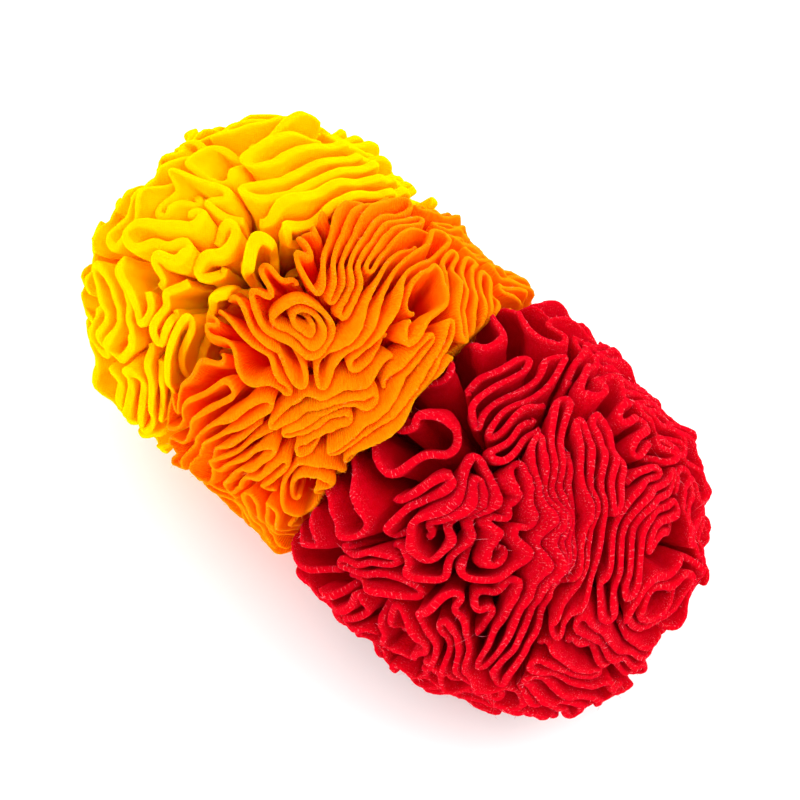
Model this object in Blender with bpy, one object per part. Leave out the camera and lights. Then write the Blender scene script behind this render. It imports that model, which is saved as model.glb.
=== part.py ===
"""Snuffle mat worked as one long toy: three ruffled cloth balls pressed together in a row.

Every ruffle is one strip of cloth. Its free edge runs back and forth, or winds
round, on the surface of its ball, and its depth is drawn in to the heart of the
ball. Sizes are in millimetres and become metres where the meshes are made.
"""

import math
from collections import namedtuple

import bmesh
import bpy
import numpy as np

MM = 0.001

# Overall sizes.
BALL_RADIUS = 64.0
HEART_HEIGHT = 61.0
LOW_END = -65.0
HIGH_END = 61.5
EDGE_SLACK = 0.8
SOFTEN_CORNER = 4.0
BORDER_GAP = 0.2
HEART_OPEN = 1.0

# Shift that puts the middle of the finished mat over the origin.
SHIFT_X = 2.52
SHIFT_Y = 0.12

# The direction from which the seen rows below are laid out.
VIEW_TURN = 46.0
VIEW_RISE = 60.0
VIEW_ROLL = 43.5
VIEW_MIDDLE_ALONG = 0.7
VIEW_MIDDLE_ACROSS = -2.4

# How loose ruffles settle against each other.
STEP = 1.0
ROUNDS = 36
CALM_ROUNDS = 7
MOVES = 10
GROWTH = 1.28
SPARSE_PITCH = 8.5

# How far a ruffle may reach over its own patch, and the shortest leg kept.
REACH = 1.6
LEAST_LEG = 1.3

# Halvings that bring a seen row's place onto the mat's surface.
SEEN_ROUNDS = 24

# How a face is drawn in at a sharp bend: rounds, the share kept in each, and the least run kept.
BEND_ROUNDS = 24
BEND_DRAW = 0.8
LEAST_RUN = 0.2

Border = namedtuple("Border", "x tilt_y tilt_z")
YELLOW_TO_ORANGE = Border(-43.5, 0.14, -0.11)
ORANGE_TO_RED = Border(7.5, -0.05, 0.20)

Ball = namedtuple("Ball", "name heart_x sheet trim low high colour roughness")
BALLS = (
    Ball("yellow", -62.0, 2.8, 0.50, None, YELLOW_TO_ORANGE, "FEC903", 0.95),
    Ball("orange", -17.0, 1.6, 0.36, YELLOW_TO_ORANGE, ORANGE_TO_RED, "FC7606", 0.92),
    Ball("red", 62.0, 2.6, 0.45, ORANGE_TO_RED, None, "CB071A", 0.95),
)

# Seen ruffles. along and across place the patch in the view, head turns it
# there in degrees, and half_long, half_broad, pitch, bend and swirl are sizes.
Seen = namedtuple("Seen", "name kind along across head half_long half_broad pitch bend swirl")
SEEN = {
    "yellow": (
        Seen("left_face", "pleats", -112, 2, 92, 34, 8, 6.4, 5, 0),
        Seen("tongue", "coil", -100, -8, 100, 15, 10, 4.8, 0, 0),
        Seen("top_pocket", "coil", -100, -28, -15, 14, 10, 5.0, -3, 0),
        Seen("outline_waves", "pleats", -95, -50, -40, 20, 8, 4.8, 0, 0),
        Seen("long_faces", "pleats", -76, -36, 98, 38, 10, 6.0, -4, 0),
        Seen("right_band", "pleats", -60, -30, 102, 44, 6, 5.6, -4, 0),
        Seen("hairpins", "pleats", -84, 7, -32, 24, 9, 4.4, 3, 0),
        Seen("small_loop", "pleats", -72, 0, 98, 19, 9, 5.0, 0, 0),
        Seen("keyhole", "coil", -74, 26, 52, 22, 10, 4.6, 0, 0),
        Seen("low_band", "pleats", -59, 40, 66, 30, 8, 4.8, 0, 0),
        Seen("low_left", "pleats", -92, 40, 50, 30, 10, 5.0, 0, 0),
        Seen("bottom_edge", "pleats", -72, 56, 40, 22, 9, 5.0, 0, 0),
    ),
    "orange": (
        Seen("coil", "coil", -52, -4, -55, 12, 9, 2.6, 0, 0),
        Seen("upper_pleats", "pleats", -48, -38, 92, 26, 9, 2.9, -1, 0),
        Seen("broad_faces", "pleats", -31, -20, 92, 42, 9, 4.2, 2, 0),
        Seen("hollow", "coil", -21, -38, 100, 15, 9, 3.4, 0, 0),
        Seen("top_diagonal", "pleats", -9, -50, 58, 22, 8, 2.9, 0, 0),
        Seen("right_pack", "pleats", -7, -14, 90, 33, 7, 2.8, 0, 0),
        Seen("low_curve", "pleats", -48, 12, -5, 14, 6, 3.4, -2, 0),
        Seen("middle_pleats", "pleats", -23, 12, 108, 23, 9, 2.9, 0, 3),
        Seen("ribbed_faces", "pleats", -43, 38, 92, 21, 10, 4.2, 0, 0),
        Seen("low_waves", "pleats", -22, 42, 98, 19, 10, 3.6, 0, 0),
        Seen("loop", "coil", -6, 35, 78, 15, 8, 3.2, 0, 0),
        Seen("low_edge", "pleats", -4, 57, 20, 18, 8, 3.4, 0, 0),
    ),
    "red": (
        Seen("left_face", "pleats", 11, -34, 106, 34, 10, 5.4, 0, 0),
        Seen("wave", "pleats", 25, -27, 100, 15, 6, 4.6, 0, 4),
        Seen("left_layers", "pleats", 7, 12, 94, 25, 9, 4.5, -2, 0),
        Seen("oval_left", "coil", 24, 10, 68, 23, 12, 3.7, 0, 0),
        Seen("oval_right", "coil", 40, -3, 62, 24, 9, 3.7, 0, 0),
        Seen("long_low", "pleats", 59, -6, 51, 58, 11, 3.8, 0, 4),
        Seen("long_high", "pleats", 70, -22, 54, 44, 9, 3.9, 5, 0),
        Seen("corner", "pleats", 86, -35, 72, 26, 9, 3.9, -12, 0),
        Seen("eye", "coil", 106, -24, -50, 17, 11, 4.2, 0, 0),
        Seen("top_right", "pleats", 92, -57, 48, 18, 9, 4.4, 0, 0),
        Seen("right_layers", "pleats", 107, 1, -8, 16, 9, 4.4, 0, 0),
        Seen("right_waves", "pleats", 107, 20, -28, 18, 10, 4.4, 0, 3),
        Seen("low_loop", "coil", 77, 47, 2, 27, 11, 4.0, 0, 0),
        Seen("middle_waves", "pleats", 20, 37, -12, 21, 10, 4.0, -4, 0),
        Seen("low_face", "pleats", 24, 55, 0, 22, 8, 4.8, 0, 0),
        Seen("low_pocket", "coil", 50, 50, 95, 12, 9, 4.4, 0, 0),
        Seen("top_fans", "pleats", 43, -56, 70, 15, 15, 4.6, 0, 0),
    ),
}

# Open pockets between the ruffles, placed in the view like the rows above.
Pocket = namedtuple("Pocket", "name along across radius")
POCKETS = {
    "yellow": (
        Pocket("top_pocket", -99, -27, 5.8),
        Pocket("keyhole", -76, 19, 5.2),
        Pocket("corner_pocket", -95, 24, 5.0),
    ),
    "orange": (
        Pocket("hollow", -21, -38, 5.6),
        Pocket("left_hollow", -52, 16, 5.0),
        Pocket("loop", -5, 38, 5.0),
    ),
    "red": (
        Pocket("corner", 97, -34, 5.4),
        Pocket("eye", 107, -21, 5.8),
        Pocket("top_pocket", 46, -55, 5.4),
        Pocket("low_pocket", 52, 50, 5.6),
    ),
}

# Ruffles on the far side, the underside and the pressed faces between balls.
# around is degrees about the long axis from the top toward the viewer, and
# rise is degrees toward the red end.
Far = namedtuple("Far", "name kind around rise head half_long half_broad pitch")
FAR = {
    "yellow": (
        Far("back_high", "pleats", -75, -30, 80, 34, 22, 5.8),
        Far("back_low", "coil", -120, -20, 30, 34, 26, 6.2),
        Far("under", "pleats", 180, -30, 10, 36, 26, 6.2),
        Far("front_low", "coil", 125, -30, 60, 32, 22, 6.2),
        Far("inner", "coil", 0, 89, 0, 36, 36, 10.0),
    ),
    "orange": (
        Far("back_high", "pleats", -70, 0, 80, 26, 22, 3.8),
        Far("back_low", "coil", -120, 0, 80, 30, 22, 4.2),
        Far("under", "pleats", 180, 0, 0, 26, 30, 4.4),
        Far("front_low", "coil", 125, 0, 80, 28, 22, 4.2),
        Far("inner_left", "coil", 0, -89, 0, 30, 30, 9.0),
        Far("inner_right", "coil", 0, 89, 0, 30, 30, 9.0),
    ),
    "red": (
        Far("back_high", "pleats", -70, 10, 60, 34, 24, 4.8),
        Far("back_low", "coil", -115, 35, 70, 32, 24, 5.0),
        Far("back_under", "pleats", -140, 0, 20, 34, 22, 5.0),
        Far("under", "pleats", 180, 30, 90, 30, 24, 5.0),
        Far("front_low", "coil", 125, 15, 10, 34, 22, 5.0),
        Far("inner", "coil", 0, -89, 0, 36, 36, 10.0),
    ),
}


def unit(vectors):
    """Scale vectors to length one."""
    return vectors / np.linalg.norm(vectors, axis=-1, keepdims=True)


def view_axes():
    """Return the view's along, across and toward-the-eye directions."""
    turn, rise, roll = (math.radians(a) for a in (VIEW_TURN, VIEW_RISE, VIEW_ROLL))
    right = np.array([math.cos(turn), math.sin(turn), 0.0])
    back = np.array([math.sin(turn) * math.cos(rise), -math.cos(turn) * math.cos(rise), math.sin(rise)])
    down = -np.cross(back, right)
    along = right * math.cos(roll) + down * math.sin(roll)
    across = -right * math.sin(roll) + down * math.cos(roll)
    return along, across, back


ALONG, ACROSS, BACK = view_axes()


def oblong_reach(ball, towards):
    """Distance from the heart to the mat's oblong surface, a tube with rounded ends."""
    ahead = towards[..., 0]
    tube = BALL_RADIUS / np.sqrt(np.maximum(1.0 - ahead**2, 1e-6))
    hit = ball.heart_x + tube * ahead
    end = np.where(hit > HIGH_END, HIGH_END, LOW_END) - ball.heart_x
    inside = np.maximum((end * ahead) ** 2 - end**2 + BALL_RADIUS**2, 0.0)
    beyond = (hit > HIGH_END) | (hit < LOW_END)
    return np.where(beyond, end * ahead + np.sqrt(inside), tube)


def seen_middle(ball, row):
    """Direction from the ball's heart to the place where the view shows the row."""
    offset = (row.along - VIEW_MIDDLE_ALONG) * ALONG + (row.across - VIEW_MIDDLE_ACROSS) * ACROSS
    offset = offset - np.array([ball.heart_x, 0.0, 0.0])
    offset = offset - BACK * (offset @ BACK)
    while np.linalg.norm(offset) > 0.97 * oblong_reach(ball, unit(offset)):
        offset = 0.98 * offset
    low, high = 0.0, 2.0 * BALL_RADIUS
    for _ in range(SEEN_ROUNDS):
        lift = (low + high) / 2
        place = offset + lift * BACK
        if np.linalg.norm(place) < oblong_reach(ball, unit(place)):
            low = lift
        else:
            high = lift
    return unit(offset + low * BACK)


def seen_frame(ball, row):
    """Return the patch middle and its two surface directions for a seen row."""
    middle = seen_middle(ball, row)
    head = math.radians(row.head)
    wanted = math.cos(head) * ALONG + math.sin(head) * ACROSS
    sideways = -math.sin(head) * ALONG + math.cos(head) * ACROSS
    long_way = wanted - BACK * ((wanted @ middle) / max(BACK @ middle, 0.3))
    long_way = unit(long_way - middle * (long_way @ middle))
    broad_way = np.cross(middle, long_way)
    if broad_way @ sideways < 0:
        broad_way = -broad_way
    return middle, long_way, broad_way


def far_frame(row):
    """Return the patch middle and its two surface directions for a far row."""
    around, rise, head = (math.radians(a) for a in (row.around, row.rise, row.head))
    middle = np.array(
        [math.sin(rise), -math.sin(around) * math.cos(rise), math.cos(around) * math.cos(rise)]
    )
    axis = np.array([1.0, 0.0, 0.0]) if abs(middle[0]) < 0.95 else np.array([0.0, 0.0, 1.0])
    first = unit(axis - middle * (axis @ middle))
    second = np.cross(middle, first)
    long_way = math.cos(head) * first + math.sin(head) * second
    return middle, long_way, np.cross(middle, long_way)


class Patch:
    """The ground on a ball that one ruffle fills, and how its cloth is folded there."""

    def __init__(self, ball, row, frame):
        self.name = f"{ball.name}_{row.name}"
        self.kind = row.kind
        self.seen = isinstance(row, Seen)
        self.middle, self.long_way, self.broad_way = frame
        scale = min(BALL_RADIUS / float(edge_reach(ball, self.middle, 0.0)), 1.0)
        self.half_long = row.half_long * scale
        self.half_broad = row.half_broad * scale
        self.pitch = row.pitch * scale
        self.bend = getattr(row, "bend", 0.0) * scale
        self.swirl = getattr(row, "swirl", 0.0) * scale

    def to_ball(self, x, y):
        """Turn patch millimetres into directions from the heart."""
        away = np.hypot(x, y)
        angle = away / BALL_RADIUS
        scale = np.where(away > 1e-9, np.sin(angle) / np.maximum(away, 1e-9), 1 / BALL_RADIUS)
        return (
            np.cos(angle)[..., None] * self.middle
            + (scale * x)[..., None] * self.long_way
            + (scale * y)[..., None] * self.broad_way
        )

    def sway(self, x):
        """Sideways drift of a leg at x, from the patch's bend and swirl."""
        part = np.clip(x / self.half_long, -1.5, 1.5)
        return self.bend * part**2 + self.swirl * part**3

    def share(self, directions):
        """How far out of the patch each direction lies, 1 being its nominal edge."""
        angle = np.arccos(np.clip(directions @ self.middle, -1.0, 1.0))
        scale = BALL_RADIUS * angle / np.maximum(np.sin(angle), 1e-6)
        x = (directions @ self.long_way) * scale
        y = (directions @ self.broad_way) * scale
        power = 2.2
        if self.kind == "pleats":
            y = y - self.sway(x)
            power = 3.0
        across = (np.abs(y) / self.half_broad) ** power
        return ((np.abs(x) / self.half_long) ** power + across) ** (1 / power)


def owned(patch, patches, directions):
    """True where the patch holds the ground against every other patch."""
    mine = patch.share(directions)
    best = np.full(mine.shape, 9.0)
    for other in patches:
        if other is not patch:
            best = np.minimum(best, other.share(directions))
    return (mine < best) & (mine < REACH)


def runs_of(flags):
    """Return the first and last index of every unbroken run of True."""
    edges = np.flatnonzero(np.diff(np.concatenate([[0], flags.astype(int), [0]])))
    return [(a, b - 1) for a, b in zip(edges[::2], edges[1::2])]


def patch_breadth(patch, patches):
    """Lowest and highest sideways reach of the patch near its middle."""
    y = np.arange(-REACH * patch.half_broad, REACH * patch.half_broad + 0.5, 0.5)
    x = np.linspace(-0.45, 0.45, 9) * patch.half_long
    grid_x, grid_y = np.meshgrid(x, y)
    inside = owned(patch, patches, patch.to_ball(grid_x, grid_y + patch.sway(grid_x)))
    low, high = [], []
    for column in range(len(x)):
        found = runs_of(inside[:, column])
        if found:
            first, last = max(found, key=lambda run: run[1] - run[0])
            low.append(y[first])
            high.append(y[last])
    return float(np.percentile(low, 35)), float(np.percentile(high, 65))


def leg_spans(patch, patches, rows_y):
    """Choose the stretch of every leg, from the longest one outward both ways."""
    pitch = patch.pitch
    x = np.arange(-REACH * patch.half_long, REACH * patch.half_long + 0.75, 0.75)
    grid_x, grid_y = np.meshgrid(x, rows_y)
    inside = np.ones(grid_x.shape, bool)
    for shift in (-0.30 * pitch, 0.0, 0.30 * pitch):
        inside &= owned(patch, patches, patch.to_ball(grid_x, grid_y + shift + patch.sway(grid_x)))

    def pick(row, near):
        best = None
        for first, last in runs_of(inside[row]):
            low, high = x[first], x[last]
            overlap = min(high, near[1]) - max(low, near[0])
            if high - low < LEAST_LEG * pitch or overlap < 0.8 * pitch:
                continue
            if best is None or high - low > best[1] - best[0]:
                best = (low, high)
        return best

    longest = int(np.argmax(inside.sum(1)))
    spans = {longest: pick(longest, (x[0], x[-1]))}
    for way in (1, -1):
        row, near = longest + way, spans[longest]
        while 0 <= row < len(rows_y):
            near = pick(row, near)
            if near is None:
                break
            spans[row] = near
            row += way
    return spans


def pleated_strand(patch, patches):
    """Lay the cloth edge back and forth over the patch."""
    pitch = patch.pitch
    low_y, high_y = patch_breadth(patch, patches)
    legs = max(1, round((high_y - low_y) / pitch))
    gap = (high_y - low_y) / legs
    rows_y = low_y + (np.arange(-2, legs + 2) + 0.5) * gap
    spans = leg_spans(patch, patches, rows_y)
    rows = sorted(spans)
    pieces = []
    side = 1
    start = spans[rows[0]][0] + 0.3 * pitch
    for place, row in enumerate(rows):
        low, high = spans[row]
        last = place + 1 == len(rows)
        if last:
            end = high - 0.3 * pitch if side > 0 else low + 0.3 * pitch
        else:
            next_low, next_high = spans[rows[place + 1]]
            end = min(high, next_high) - 0.5 * pitch if side > 0 else max(low, next_low) + 0.5 * pitch
        if (end - start) * side < 0.4 * pitch:
            end = start + side * 0.4 * pitch
        count = max(2, int(abs(end - start) / STEP))
        pieces.append(np.stack([np.linspace(start, end, count), np.full(count, rows_y[row])], 1))
        if not last:
            angle = np.radians(np.linspace(-90, 90, 7)[1:-1])
            turn_x = end + side * np.cos(angle) * gap / 2
            turn_y = rows_y[row] + gap / 2 + np.sin(angle) * gap / 2
            pieces.append(np.stack([turn_x, turn_y], 1))
        start, side = end, -side
    points = np.concatenate(pieces)
    return patch.to_ball(points[:, 0], points[:, 1] + patch.sway(points[:, 0]))


def patch_edge(patch, patches):
    """Angles round the patch and how far its ground goes there, as a share of its nominal edge."""
    angles = np.linspace(-math.pi, math.pi, 73)
    shares = np.linspace(0.1, REACH, 40)
    x = np.cos(angles)[:, None] * patch.half_long * shares
    y = np.sin(angles)[:, None] * patch.half_broad * shares
    inside = owned(patch, patches, patch.to_ball(x, y))
    first_out = np.where(inside.all(1), len(shares) - 1, np.argmin(inside, 1) - 1)
    edge = shares[np.maximum(first_out, 3)]
    edge[-1] = edge[0]
    for _ in range(3):
        edge[:-1] = (np.roll(edge[:-1], 1) + np.roll(edge[:-1], -1) + 2 * edge[:-1]) / 4
        edge[-1] = edge[0]
    return angles, np.minimum(edge, 1.3)


def coiled_strand(patch, patches):
    """Wind the cloth edge round a slit, outward to the patch's edge."""
    pitch = patch.pitch
    slit = max(patch.half_long - patch.half_broad, 0.0)
    angles, edge = patch_edge(patch, patches)
    usual = float(np.median(edge))
    first, last = 0.42 * pitch / usual, patch.half_broad - 0.5 * pitch / usual
    halves = max(2, round(2 * (last - first) * usual / pitch))
    growth = (last - first) / halves
    pieces = []
    away = first
    for half in range(halves):
        side = 1 if half % 2 == 0 else -1
        angle = np.radians(np.linspace(-90, 90, max(6, int(away * math.pi))))
        radius = away + (angle / math.pi + 0.5) * growth
        pieces.append(np.stack([side * (slit + np.cos(angle) * radius), side * np.sin(angle) * radius], 1))
        away += growth
        if slit > 0.5 and half < halves - 1:
            straight = np.linspace(slit, -slit, max(3, int(2 * slit)))[1:-1]
            pieces.append(np.stack([side * straight, np.full(len(straight), side * away)], 1))
    points = np.concatenate(pieces)
    facing = np.arctan2(points[:, 1] / patch.half_broad, points[:, 0] / patch.half_long)
    points = points * np.interp(facing, angles, edge)[:, None]
    return patch.to_ball(points[:, 0], points[:, 1])


def respaced(strand, step):
    """Put the strand's points an even step apart."""
    points = strand * BALL_RADIUS
    run = np.concatenate([[0], np.cumsum(np.linalg.norm(np.diff(points, axis=0), axis=1))])
    even = np.linspace(0, run[-1], max(4, round(run[-1] / step)) + 1)
    return unit(np.stack([np.interp(even, run, points[:, k]) for k in range(3)], 1))


def close_pairs(points, radius):
    """Indices of every two points that lie within the radius."""
    cell = np.floor(points / radius).astype(np.int64) + 64
    code = (cell[:, 0] * 256 + cell[:, 1]) * 256 + cell[:, 2]
    order = np.argsort(code, kind="stable")
    ranked = code[order]
    first, second = [], []
    for dx in (0, 1):
        for dy in (-1, 0, 1):
            for dz in (-1, 0, 1):
                shift = (dx * 256 + dy) * 256 + dz
                if shift < 0:
                    continue
                low = np.searchsorted(ranked, ranked + shift, "left")
                count = np.searchsorted(ranked, ranked + shift, "right") - low
                a = np.repeat(np.arange(len(ranked)), count)
                b = np.arange(count.sum()) - np.repeat(np.cumsum(count) - count, count) + np.repeat(low, count)
                keep = a < b if shift == 0 else np.ones(len(a), bool)
                first.append(order[a[keep]])
                second.append(order[b[keep]])
    first, second = np.concatenate(first), np.concatenate(second)
    near = ((points[first] - points[second]) ** 2).sum(1) < radius * radius
    return first[near], second[near]


def pulled_straight(points, inner, reach, shares):
    """Ease short kinks out of the strands without drawing them in."""
    for share in shares:
        ease = np.zeros_like(points)
        ease[inner] = (points[inner - reach] + points[inner + reach]) / 2 - points[inner]
        points = points + share * ease
    return points


def kept_off(points, pockets, room):
    """Hold the strands out of the open pockets."""
    for middle, radius in pockets:
        from_middle = points - middle * BALL_RADIUS
        away = np.linalg.norm(from_middle, axis=1)
        least = radius + 0.32 * np.minimum(room, 5.0)
        short = np.maximum(least - away, 0.0)
        points = points + from_middle * (short / np.maximum(away, 1e-6))[:, None]
    return points


def settled(strands, pitches, pockets):
    """Let the strands push each other apart and lengthen into free ground."""
    pitch_of = np.array(pitches)
    for turn in range(ROUNDS):
        growing = turn < ROUNDS - CALM_ROUNDS
        strands = [respaced(strand, STEP) for strand in strands]
        lengths = [len(strand) for strand in strands]
        ends = np.cumsum(lengths)
        starts = ends - lengths
        towards = np.concatenate(strands)
        owner = np.repeat(np.arange(len(strands)), lengths)
        place = np.concatenate([np.arange(n) for n in lengths]) * STEP
        room = pitch_of[owner]
        from_end = np.minimum(np.arange(len(owner)) - starts[owner], ends[owner] - 1 - np.arange(len(owner)))
        inner, deep = np.flatnonzero(from_end >= 1), np.flatnonzero(from_end >= 3)
        links = np.setdiff1d(np.arange(len(owner) - 1), ends[:-1] - 1)
        sparse = room[links] > SPARSE_PITCH
        rest = STEP * np.where(sparse | (not growing), 1.0, GROWTH)[:, None]
        a, b = close_pairs(towards * BALL_RADIUS, room.max() + 1.5)
        least = np.minimum(np.minimum(room[a], room[b]), 5.0)
        apart = (owner[a] != owner[b]) | (np.abs(place[a] - place[b]) >= 1.7 * least)
        a, b = a[apart], b[apart]
        wanted = (room[a] + room[b]) / 2
        for _ in range(MOVES):
            points = towards * BALL_RADIUS
            between = points[a] - points[b]
            distance = np.sqrt((between**2).sum(1)) + 1e-9
            push = between * (np.maximum(wanted - distance, 0) * 0.22 / distance)[:, None]
            move = np.stack(
                [
                    np.bincount(a, push[:, k], len(points)) - np.bincount(b, push[:, k], len(points))
                    for k in range(3)
                ],
                1,
            )
            size = np.linalg.norm(move, axis=1, keepdims=True)
            move *= np.minimum(1, 0.6 / np.maximum(size, 1e-9))
            link = points[links + 1] - points[links]
            length = np.linalg.norm(link, axis=1, keepdims=True)
            pull = link / np.maximum(length, 1e-9) * (length - rest) * 0.4
            move[links] += pull
            move[links + 1] -= pull
            if growing:
                drift = np.array([0.37, -0.51, 0.43]) * turn
                move += 0.05 * np.sin(points[:, [1, 2, 0]] * np.array([0.9, 0.8, 0.85]) + drift)
            points = pulled_straight(points + move, inner, 1, (0.45, -0.43))
            points = pulled_straight(points, deep, 3, (0.07, -0.0688))
            points = kept_off(points, pockets, room)
            towards = unit(points)
        strands = [towards[first:last] for first, last in zip(starts, ends)]
    return [respaced(strand, STEP) for strand in strands]


def border_distance(border, ball, towards):
    """Distance from the heart to the plane between two balls, along each direction."""
    across = towards @ np.array([1.0, -border.tilt_y, -border.tilt_z])
    gap = border.x - ball.heart_x
    facing = across * np.sign(gap) > 1e-3
    return np.where(facing, gap / np.where(facing, across, 1.0), 1000.0)


def lumps(towards):
    """Slow unevenness of a ball's surface."""
    x, y, z = towards[..., 0], towards[..., 1], towards[..., 2]
    return (
        1.1 * np.sin(5.1 * x + 3.2 * y + 0.5)
        + 0.9 * np.sin(6.3 * y - 4.0 * z + 1.9)
        + 0.8 * np.sin(7.7 * z + 5.2 * x + 4.0)
    )


def edge_reach(ball, towards, uneven):
    """How far from the heart the cloth edge lies, held by the neighbours and the floor."""
    free = oblong_reach(ball, towards) - EDGE_SLACK + lumps(towards) + uneven
    pressed = np.full(free.shape, 1000.0)
    for border in (ball.low, ball.high):
        if border is not None:
            pressed = np.minimum(pressed, border_distance(border, ball, towards) - BORDER_GAP)
    soft = -SOFTEN_CORNER * np.logaddexp(-free / SOFTEN_CORNER, -pressed / SOFTEN_CORNER)
    down = np.where(towards[..., 2] < -1e-3, -towards[..., 2], 1e-3)
    return np.minimum(soft, HEART_HEIGHT / down)


def trim_of(ball, patch):
    """How closely the solid keeps to the settled edge: looser where it is out of sight."""
    if patch.pitch > SPARSE_PITCH:
        return 2.0 * ball.trim
    return ball.trim if patch.seen else 1.5 * ball.trim


def thinned(strand, tolerance):
    """Indices of the fewest points that keep the strand's line within the tolerance."""
    points = strand * BALL_RADIUS
    keep = {0, len(points) - 1}
    waiting = [(0, len(points) - 1)]
    while waiting:
        first, last = waiting.pop()
        if last - first < 2:
            continue
        base = points[last] - points[first]
        inner = points[first + 1 : last] - points[first]
        share = np.clip((inner @ base) / max(base @ base, 1e-9), 0, 1)
        off = np.linalg.norm(inner - share[:, None] * base, axis=1)
        worst = int(np.argmax(off))
        if off[worst] > tolerance:
            middle = first + 1 + worst
            keep.add(middle)
            waiting += [(first, middle), (middle, last)]
    return np.array(sorted(keep))


def edge_sides(strand, half_sheet, reach):
    """Directions of the cloth's two faces beside its middle line, drawn in at sharp bends."""
    step = np.diff(strand, axis=0)
    ahead = unit(step)
    before = np.concatenate([ahead[:1], ahead])
    after = np.concatenate([ahead, ahead[-1:]])
    along = unit(before + after)
    side = unit(np.cross(strand, along))
    half_turn = np.sqrt(np.clip((1 + (before * after).sum(1)) / 2, 0.2, 1))
    shift = side * (half_sheet / np.maximum(reach, BALL_RADIUS) / half_turn)[:, None]
    faces = []
    for way in (1, -1):
        share = np.ones(len(strand))
        for _ in range(BEND_ROUNDS):
            face = strand + way * share[:, None] * shift
            tight = (np.diff(face, axis=0) * step).sum(1) < LEAST_RUN * (step * step).sum(1)
            share[:-1][tight] *= BEND_DRAW
            share[1:][tight] *= BEND_DRAW
        faces.append(unit(strand + way * share[:, None] * shift))
    return faces


def ruffle_mesh(ball, patch, strand, order):
    """Build one ruffle's solid: the folded edge, with both faces drawn in to the heart."""
    run = np.arange(len(strand)) * STEP
    uneven = 0.8 * np.sin(run / 8.5 + 1.7 * order) + 0.9 * math.sin(2.4 * order)
    kept = thinned(strand, trim_of(ball, patch))
    reach = edge_reach(ball, strand[kept], uneven[kept])
    left, right = edge_sides(strand[kept], ball.sheet / 2, reach)
    rims = [side * edge_reach(ball, side, uneven[kept])[:, None] for side in (left, right)]
    count = len(kept)
    heart = HEART_OPEN * unit(strand.mean(axis=0))
    vertices = np.concatenate([rims[0], rims[1], heart[None]]) * MM
    tip = 2 * count
    faces = [(0, tip, count), (count - 1, 2 * count - 1, tip)]
    for k in range(count - 1):
        faces.append((k, count + k, count + k + 1, k + 1))
        faces.append((k, k + 1, tip))
        faces.append((count + k + 1, count + k, tip))
    mesh = bpy.data.meshes.new(patch.name)
    mesh.from_pydata(vertices.tolist(), [], faces)
    tidy = bmesh.new()
    tidy.from_mesh(mesh)
    bmesh.ops.triangulate(tidy, faces=tidy.faces)
    tidy.to_mesh(mesh)
    tidy.free()
    return mesh


def linear_colour(code):
    """Turn an sRGB hex code into linear red, green, blue and alpha."""
    parts = [int(code[k : k + 2], 16) / 255 for k in (0, 2, 4)]
    linear = [c / 12.92 if c <= 0.04045 else ((c + 0.055) / 1.055) ** 2.4 for c in parts]
    return (*linear, 1.0)


def cloth_material(ball):
    """Make the ball's matt brushed cloth."""
    material = bpy.data.materials.new(f"{ball.name}_cloth")
    material.use_nodes = True
    shader = material.node_tree.nodes["Principled BSDF"]
    shader.inputs["Base Color"].default_value = linear_colour(ball.colour)
    shader.inputs["Roughness"].default_value = ball.roughness
    shader.inputs["Metallic"].default_value = 0.0
    return material


def ball_patches(ball):
    """All patches of one ball, seen and far."""
    patches = [Patch(ball, row, seen_frame(ball, row)) for row in SEEN[ball.name]]
    return patches + [Patch(ball, row, far_frame(row)) for row in FAR[ball.name]]


def build_ball(ball):
    """Fold, settle and build every ruffle of one ball under its heart."""
    heart = bpy.data.objects.new(f"{ball.name}_ball", None)
    heart.location = ((ball.heart_x + SHIFT_X) * MM, SHIFT_Y * MM, HEART_HEIGHT * MM)
    bpy.context.collection.objects.link(heart)
    patches = ball_patches(ball)
    layers = {"pleats": pleated_strand, "coil": coiled_strand}
    strands = [layers[patch.kind](patch, patches) for patch in patches]
    pockets = [(seen_middle(ball, row), row.radius) for row in POCKETS[ball.name]]
    strands = settled(strands, [patch.pitch for patch in patches], pockets)
    for order, (patch, strand) in enumerate(zip(patches, strands)):
        mesh = ruffle_mesh(ball, patch, strand, order)
        mesh.materials.append(cloth_material(ball))
        ruffle = bpy.data.objects.new(patch.name, mesh)
        ruffle.parent = heart
        bpy.context.collection.objects.link(ruffle)


def main():
    for old in list(bpy.data.objects):
        bpy.data.objects.remove(old, do_unlink=True)
    for ball in BALLS:
        build_ball(ball)


if __name__ == "__main__":
    main()
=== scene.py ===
"""Looks of the snuffle mat: ruffled cloth balls in yellow, orange and red.

Every packed ruffle gives the line of its free edge. The same strip of cloth is
built again on that line as a finer sheet, with a rounded cut edge that leans
over as soft cloth does, and with the nap, knit and lint of its own cloth.
"""

import logging
import math
from dataclasses import dataclass, field
from enum import Enum

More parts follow.
